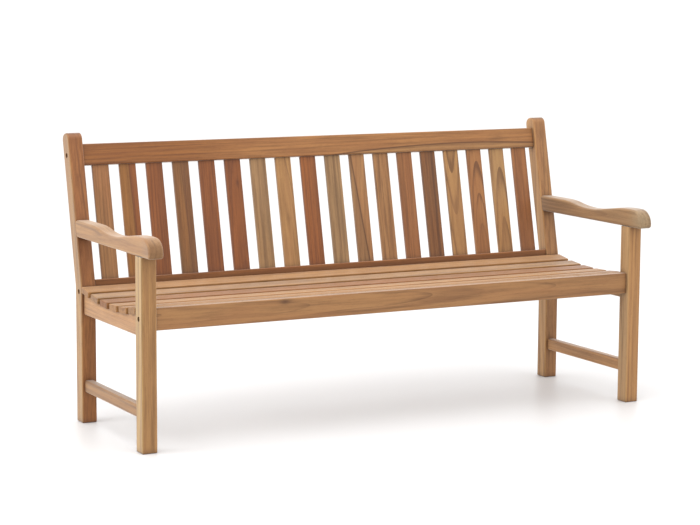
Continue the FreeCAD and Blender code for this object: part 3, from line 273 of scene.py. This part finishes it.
    # end grain drinks light
    normal = net.add("ShaderNodeTexCoord").outputs["Normal"]
    facing = net.calc("ABSOLUTE", net.vector("DOT_PRODUCT", normal, given["Along"]))
    end = net.step(facing, 0.55, 0.9)
    color = net.mix(net.calc("MULTIPLY", end, given["End Share"]), color, deep)

    roughness = net.total(0.5, net.calc("MULTIPLY", streak, 0.08),
                          net.calc("MULTIPLY", pore, 0.15), net.calc("MULTIPLY", end, 0.15))
    height = net.total(net.calc("MULTIPLY", pore, -0.6), net.calc("MULTIPLY", fibre, 0.5),
                       net.calc("MULTIPLY", late_wood, 0.35), net.calc("MULTIPLY", streak, 0.3))
    result = net.add("NodeGroupOutput")
    net.feed(result.inputs["Color"], color)
    net.feed(result.inputs["Roughness"], roughness)
    net.feed(result.inputs["Height"], height)
    return tree


WOOD = wood_group()

# Directions of grain, width and thickness for each way that a board can lie.
UPRIGHT = ((0, 0, 1), (1, 0, 0), (0, 1, 0))
LEANING = ((0, math.sin(LEAN), math.cos(LEAN)), (1, 0, 0), (0, math.cos(LEAN), -math.sin(LEAN)))
HALF_LEANING = ((0, math.sin(LEAN / 2), math.cos(LEAN / 2)), (1, 0, 0),
                (0, math.cos(LEAN / 2), -math.sin(LEAN / 2)))
LYING_FACE_UP = ((1, 0, 0), (0, 1, 0), (0, 0, 1))
LYING_ON_EDGE = ((1, 0, 0), (0, 0, 1), (0, -1, 0))
LYING_AND_LEANING = ((1, 0, 0), (0, math.sin(LEAN), math.cos(LEAN)),
                     (0, -math.cos(LEAN), math.sin(LEAN)))
FRONT_TO_BACK = ((0, 1, 0), (0, 0, 1), (1, 0, 0))
BACK_TO_FRONT = ((0, -1, 0), (0, 0, 1), (-1, 0, 0))

# Middle colours of the sorts of teak, as they look in white light.
TONES = {
    "straw": (187, 139, 96),
    "honey": (178, 134, 92),
    "tan": (172, 126, 88),
    "orange": (168, 116, 75),
    "amber": (169, 112, 66),
    "rust": (160, 105, 64),
    "red": (147, 85, 37),
    "grey": (164, 127, 95),
    "olive": (166, 131, 101),
    "cinnamon": (154, 97, 44),
    "brown": (140, 90, 50),
}
BLUSHES = {
    "straw": (196, 144, 102),
    "honey": (190, 140, 100),
    "tan": (176, 122, 84),
    "orange": (172, 112, 70),
    "amber": (158, 100, 58),
    "cinnamon": (142, 83, 36),
    "rust": (146, 88, 50),
    "red": (123, 68, 30),
    "grey": (150, 118, 92),
    "olive": (138, 108, 84),
    "brown": (118, 80, 50),
}
LIGHTER = 1.19                   # early wood against the middle colour
DARKER = (0.52, 0.44, 0.38)      # late wood and bands against it
TONE_SHARE = (0.63, 0.60, 0.43)  # brings a tone down to what this bright studio needs
PLAIN_SHEEN = 0.4                # pale look of dry wood seen at a glancing angle
RED_SHEEN = 0.22
SHEEN_ROUGHNESS = 0.4
SHEEN_TINT = (1.0, 0.97, 0.93, 1)
BUMP_STRENGTH = 0.35
BUMP_HEIGHT = 0.0005             # metres
FAR_PITH = 0.19                  # metres to one side of a board with straight grain


def straight(side=1, tilt=0.01):
    """Straight grain: the pith lies far off to one side."""
    return {"Pith Across": FAR_PITH * side, "Pith Through": 0.06, "Tilt Across": tilt}


def arched(depth=0.022, tilt=0.05, shift=0.0):
    """Arches: the pith runs just behind the face and slowly drifts away from it."""
    return {"Pith Across": shift, "Pith Through": depth, "Tilt Through": tilt,
            "Ring Width": 0.005, "Wander": 0.012}


def all_over(tint):
    """A tint for the whole board, when it has no vein."""
    return {"Side Tint": tint, "Side Share": 1.0}


def toned(color):
    """Base colour of the shader for a colour of the tables above."""
    return [part * share for part, share in zip(linear(*color), TONE_SHARE)]


def board_material(name, lie, tone, seed, sheen, figure):
    """Wood for one board, in the board's own directions from its middle."""
    low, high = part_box(name)
    middle = (low + high) / 2
    turn = Matrix(lie).transposed().to_euler()
    material = bpy.data.materials.new("wood_" + name)
    material.use_nodes = True
    net = Net(material.node_tree)
    shader = material.node_tree.nodes["Principled BSDF"]
    place = net.add("ShaderNodeMapping", vector_type="TEXTURE")
    net.feed(place.inputs["Vector"], net.add("ShaderNodeTexCoord").outputs["Object"])
    place.inputs["Location"].default_value = middle
    place.inputs["Rotation"].default_value = turn
    wood = net.add("ShaderNodeGroup", node_tree=WOOD)
    net.feed(wood.inputs["Place"], place.outputs[0])
    wood.inputs["Along"].default_value = lie[0]
    wood.inputs["Seed"].default_value = seed
    base = toned(TONES[tone])
    net.feed(wood.inputs["Light"], [part * LIGHTER for part in base])
    net.feed(wood.inputs["Dark"], [part * share for part, share in zip(base, DARKER)])
    net.feed(wood.inputs["Blush"], toned(BLUSHES[tone]))
    for key, value in figure.items():
        net.feed(wood.inputs[key], value)
    bump = net.add("ShaderNodeBump")
    bump.inputs["Strength"].default_value = BUMP_STRENGTH
    bump.inputs["Distance"].default_value = BUMP_HEIGHT
    net.feed(bump.inputs["Height"], wood.outputs["Height"])
    net.feed(shader.inputs["Base Color"], wood.outputs["Color"])
    net.feed(shader.inputs["Roughness"], wood.outputs["Roughness"])
    net.feed(shader.inputs["Normal"], bump.outputs[0])
    shader.inputs["IOR"].default_value = 1.45
    shader.inputs["Sheen Weight"].default_value = sheen
    shader.inputs["Sheen Roughness"].default_value = SHEEN_ROUGHNESS
    shader.inputs["Sheen Tint"].default_value = SHEEN_TINT
    return material


def dress(name, material):
    """Gives a CAD node its material."""
    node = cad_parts[name]
    for slot in node.material_slots:
        slot.link = "OBJECT"
        slot.material = material


def wood(name, lie, tone, seed, figure, sheen=PLAIN_SHEEN):
    """Dresses one board in wood of its own."""
    dress(name, board_material(name, lie, tone, seed, sheen, figure))


def steel_material():
    """Turned stainless steel with fine machining marks."""
    material = bpy.data.materials.new("turned_steel")
    material.use_nodes = True
    net = Net(material.node_tree)
    shader = material.node_tree.nodes["Principled BSDF"]
    place = net.add("ShaderNodeTexCoord").outputs["Object"]
    marks = net.noise(net.vector("MULTIPLY", place, (2600.0, 500.0, 500.0)), 3.0)[0]
    stain = net.step(net.noise(net.vector("MULTIPLY", place, (90.0, 90.0, 90.0)), 8.0)[0],
                     0.4, 0.7)
    net.feed(shader.inputs["Base Color"],
             net.mix(stain, linear(186, 186, 184), linear(150, 148, 144)))
    net.feed(shader.inputs["Roughness"],
             net.total(0.24, net.calc("MULTIPLY", marks, 0.18), net.calc("MULTIPLY", stain, 0.1)))
    bump = net.add("ShaderNodeBump")
    bump.inputs["Strength"].default_value = 0.15
    bump.inputs["Distance"].default_value = 0.0001
    net.feed(bump.inputs["Height"], marks)
    net.feed(shader.inputs["Normal"], bump.outputs[0])
    shader.inputs["Metallic"].default_value = 1.0
    return material


# Tints for part of a board.
DULLER = (0.80, 0.84, 0.90)
OLIVE = (1.04, 1.10, 1.02)

# A board's seed only has to differ from the other boards' seeds, except where one was
# chosen because it puts a dark arch near the board's top.
BACK_SEEDS = (20.0, 1.37)  # start and step
SEAT_SEEDS = (60.0, 2.11)
END_SEEDS = (7.3, 2.6)
RIGHT_SEED_SHIFT = 0.61
ARCH_SEED = 43.1135

# Back slats from left to right: tone and figure.
BACK_SLATS = (
    ("tan", {**straight(1), "Far At": 0.0, "Far Tint": (0.92, 0.84, 0.78)}),
    ("red", {**straight(-1), "Vein At": 0.008, "Vein Slope": -0.02, "Side Tint": (1.24, 1.7, 2.05),
             "Side Share": 1.0, "Vein Share": 0.3}),
    ("red", straight(1, 0.03)),
    ("brown", {**straight(-1, 0.02), "Vein At": 0.004, "Vein Slope": -0.03, "Side Tint": OLIVE,
               "Side Share": 1.0, "Vein Share": 0.35, "Bands": 0.6, "Streaks": 0.7}),
    ("red", straight(1)),
    ("red", {**arched(0.05, 0.04, 0.012), "Knot U": 0.105, "Knot V": 0.010, "Knot Share": 0.55,
             "Far At": 0.02, "Far Tint": (0.86, 0.84, 0.82), "Blush Share": 0.4}),
    ("grey", {**straight(1), "Rings": 0.4, "Far At": -0.05, "Far Tint": (1.0, 1.02, 1.08)}),
    ("honey", {**arched(0.06, 0.03, -0.012), "Rings": 0.5, "Vein At": 0.034, "Vein Slope": -0.16,
               "Vein Share": 0.45, "Knot U": -0.02, "Knot V": 0.0, "Knot Share": 0.25}),
    ("red", {**straight(-1), "Streaks": 0.7, "Far At": -0.1, "Far Tint": (1.12, 1.16, 1.2)}),
    ("olive", {**straight(1), "Rings": 0.4, "Streaks": 0.6}),
    ("tan", {**straight(-1, 0.1), "Vein At": -0.006, "Vein Slope": -0.10, "Vein Share": 0.9,
             "Vein Width": 0.0028, "Side Tint": DULLER, "Side Share": 0.9}),
    ("tan", {**straight(1, 0.02), "Streaks": 0.8}),
    ("rust", {**straight(-1, 0.03), "Far At": 0.1, "Far Tint": (1.06, 1.1, 1.14)}),
    ("brown", {**straight(1), "Vein At": 0.012, "Vein Share": 0.5, "Vein Width": 0.005,
               "Streaks": 0.8}),
    ("honey", {**arched(0.034, -0.05, 0.0), "Ring Width": 0.009, "Rings": 1.5}),
    ("orange", {**arched(0.0262, 0.078, 0.005), "Ring Width": 0.0088, "Rings": 1.7,
                "Wander": 0.008, "Seed": ARCH_SEED}),
    ("honey", {**arched(0.030, 0.06, 0.004), "Ring Width": 0.011, "Rings": 1.9,
               "Far At": -0.02, "Far Tint": (0.97, 1.04, 1.15)}),
    ("rust", {**straight(1, 0.02), "Bands": 0.7, "Far At": -0.09, "Far Tint": (1.04, 1.04, 1.03)}),
)
for number, (tone, figure) in enumerate(BACK_SLATS, start=1):
    start, step = BACK_SEEDS
    wood("back_slat_%02d" % number, LEANING, tone, start + step * number, figure,
         RED_SHEEN if tone == "red" else PLAIN_SHEEN)

# Seat slats from front to back: tone, sheen and figure.
SEAT_SLATS = (
    ("honey", 0.15, straight(1)),
    ("straw", 0.15, {**arched(0.05, 0.015), "Rings": 0.5}),
    ("straw", 0.18, {**straight(-1), "Blush Share": 0.7, **all_over((1.06, 1.07, 1.05))}),
    ("orange", 0.15, {**straight(1), "Blush Share": 0.6}),
    ("honey", 0.3, {**arched(0.06, 0.012), "Rings": 0.5}),
    ("straw", 0.24, straight(-1)),
)
for number, (tone, sheen, figure) in enumerate(SEAT_SLATS, start=1):
    start, step = SEAT_SEEDS
    wood("seat_slat_%d" % number, LYING_FACE_UP, tone, start + step * number, figure, sheen)

wood("top_rail", LYING_AND_LEANING, "cinnamon", 3.1, {
    **straight(1, 0.012), "Vein At": -0.040, "Vein Slope": 0.11, "Vein Bow": -0.10,
    "Vein Share": 0.85, "Vein Width": 0.0024, "Side Tint": (0.94, 1.08, 1.3), "Side Share": 0.9,
    "Far At": -0.35, "Far Reach": 0.22, "Far Tint": (1.34, 1.66, 3.0),
    "Knot U": 0.70, "Knot V": 0.004, "Knot Share": 0.3, "Knot Radius": 0.014})
wood("front_rail", LYING_ON_EDGE, "tan", 4.6, {
    **arched(0.07, 0.02, 0.01), "Knot U": -0.42, "Knot V": 0.024, "Knot Share": 0.8,
    "Knot Radius": 0.008})
wood("rear_rail", LYING_ON_EDGE, "rust", 5.2, straight(1))

# Painted light: a leg's left face is tinted paler and whiter than its front, which stands in for the
# side light and glancing sheen that fall on it. The tint starts just inside the leg's rounded edge,
# so it takes in that face only.
PAINTED_LIGHT_FACE = {"Vein At": -0.0205, "Side Share": 1.0}

# Boards of the two end frames: tone and figure. A leg's Side Tint is painted light on its left face.
SIDES = {
    "left": {
        "front_leg": ("honey", {**straight(-1), "Side Tint": (1.07, 1.27, 1.34), **PAINTED_LIGHT_FACE}),
        "rear_leg": ("amber", {**straight(1, 0.015), "Side Tint": (1.07, 1.48, 1.85), **PAINTED_LIGHT_FACE,
                               "Far At": 0.02, "Far Tint": (0.87, 0.82, 0.79)}),
        "armrest": ("tan", {**arched(0.06, 0.02), **all_over((1.04, 1.09, 0.94)), "End Share": 0.3,
                            "Far At": 0.27, "Far Reach": 0.04, "Far Tint": (0.86, 0.9, 1.22)}),
        "side_rail": ("straw", straight(1)),
        "side_stretcher": ("orange", {**straight(-1, 0.02), **all_over((0.88, 0.98, 0.8))}),
        "seat_bearer": ("tan", straight(1)),
    },
    "right": {
        "front_leg": ("straw", {**straight(1), "Side Tint": (1.02, 1.2, 1.48), **PAINTED_LIGHT_FACE}),
        "rear_leg": ("tan", {**straight(-1, 0.015), "Side Tint": (1.3, 1.46, 1.52), **PAINTED_LIGHT_FACE,
                             "Knot U": 0.40, "Knot V": 0.0, "Knot Radius": 0.012,
                             "Knot Share": 0.3}),
        "armrest": ("grey", {**arched(0.06, 0.02), **all_over((1.08, 1.09, 1.13)), "End Share": 0.0,
                             "Far At": 0.27, "Far Reach": 0.04, "Far Tint": (0.98, 1.18, 1.5)}),
        "side_rail": ("honey", straight(1)),
        "side_stretcher": ("straw", {**straight(-1, 0.02), **all_over((1.1, 1.1, 1.12))}),
        "seat_bearer": ("tan", straight(1)),
    },
}
LIES = {"front_leg": UPRIGHT, "rear_leg": HALF_LEANING, "armrest": BACK_TO_FRONT,
        "side_rail": FRONT_TO_BACK, "side_stretcher": FRONT_TO_BACK, "seat_bearer": FRONT_TO_BACK}
for side, boards in SIDES.items():
    start, step = END_SEEDS
    shift = RIGHT_SEED_SHIFT if side == "right" else 0.0
    for number, (name, (tone, figure)) in enumerate(boards.items()):
        wood("%s_%s" % (name, side), LIES[name], tone, start + step * number + shift, figure)

STEEL = steel_material()
for name in ("frame_bolts", "bolt_washers", "barrel_nuts", "slat_screws"):
    dress(name, STEEL)


FLOOR_COLORS = ((0.655, 0.65, 0.65), (0.665, 0.66, 0.66))
FLOOR_REACH = 40.0


def floor_material():
    """Matt white studio floor, very slightly uneven."""
    material = bpy.data.materials.new("studio_floor")
    material.use_nodes = True
    net = Net(material.node_tree)
    shader = material.node_tree.nodes["Principled BSDF"]
    place = net.add("ShaderNodeTexCoord").outputs["Object"]
    haze = net.noise(net.vector("MULTIPLY", place, (1.1, 1.1, 1.1)), 2.0)[0]
    net.feed(shader.inputs["Base Color"], net.mix(haze, *FLOOR_COLORS))
    shader.inputs["Roughness"].default_value = 0.42
    shader.inputs["Specular IOR Level"].default_value = 0.25
    return material


def make_floor():
    mesh = bpy.data.meshes.new("floor")
    reach = FLOOR_REACH
    corners = [(-reach, -reach, 0), (reach, -reach, 0), (reach, reach, 0), (-reach, reach, 0)]
    mesh.from_pydata(corners, [], [(0, 1, 2, 3)])
    floor = bpy.data.objects.new("floor", mesh)
    bpy.context.scene.collection.objects.link(floor)
    mesh.materials.append(floor_material())
    return floor


WORLD_STRENGTH = 1.5


def make_world():
    """Even white light from all round, as from a studio with white walls."""
    world = bpy.data.worlds.new("studio")
    world.use_nodes = True
    background = world.node_tree.nodes["Background"]
    background.inputs["Color"].default_value = (1, 1, 1, 1)
    background.inputs["Strength"].default_value = WORLD_STRENGTH
    bpy.context.scene.world = world


LIGHTS = (
    # name, place, the point it faces, width in metres, watts
    ("side", (-3.2, 0.2, 1.1), (-0.9, 0, 0.45), 1.6, 36.0),
    ("top", (-0.4, -0.6, 3.6), (0, 0, 0.4), 3.0, 60.0),
)


def make_light(name, place, aim, width, power):
    """Large square soft light that faces a point."""
    data = bpy.data.lights.new(name, "AREA")
    data.shape = "SQUARE"
    data.size = width
    data.energy = power
    light = bpy.data.objects.new(name, data)
    light.location = place
    light.rotation_euler = (Vector(aim) - Vector(place)).to_track_quat("-Z", "Y").to_euler()
    bpy.context.scene.collection.objects.link(light)


CAMERA_PLACE = (-3.321, -6.1839, 1.463)
CAMERA_TURN = math.radians(28.071)  # from looking straight at the back, towards the right
CAMERA_DROP = math.radians(7.935)   # below level
CAMERA_ROLL = math.radians(0.346)
CAMERA_LENS = 111.32                # millimetres
CAMERA_FILM = 36.0                  # millimetres wide
CAMERA_SHIFT = (-0.00843, 0.00243)  # the bench stands just off the middle of the picture


def make_camera():
    data = bpy.data.cameras.new("camera")
    data.lens = CAMERA_LENS
    data.sensor_width = CAMERA_FILM
    data.clip_end = 200.0
    data.shift_x, data.shift_y = CAMERA_SHIFT
    camera = bpy.data.objects.new("camera", data)
    level = Euler((math.pi / 2 - CAMERA_DROP, 0, -CAMERA_TURN), "XYZ").to_matrix()
    roll = Matrix.Rotation(CAMERA_ROLL, 3, "Z")
    camera.matrix_world = Matrix.Translation(CAMERA_PLACE) @ (level @ roll).to_4x4()
    bpy.context.scene.collection.objects.link(camera)
    bpy.context.scene.camera = camera


make_floor()
make_world()
for light in LIGHTS:
    make_light(*light)
make_camera()
bpy.context.scene.view_settings.view_transform = "Standard"
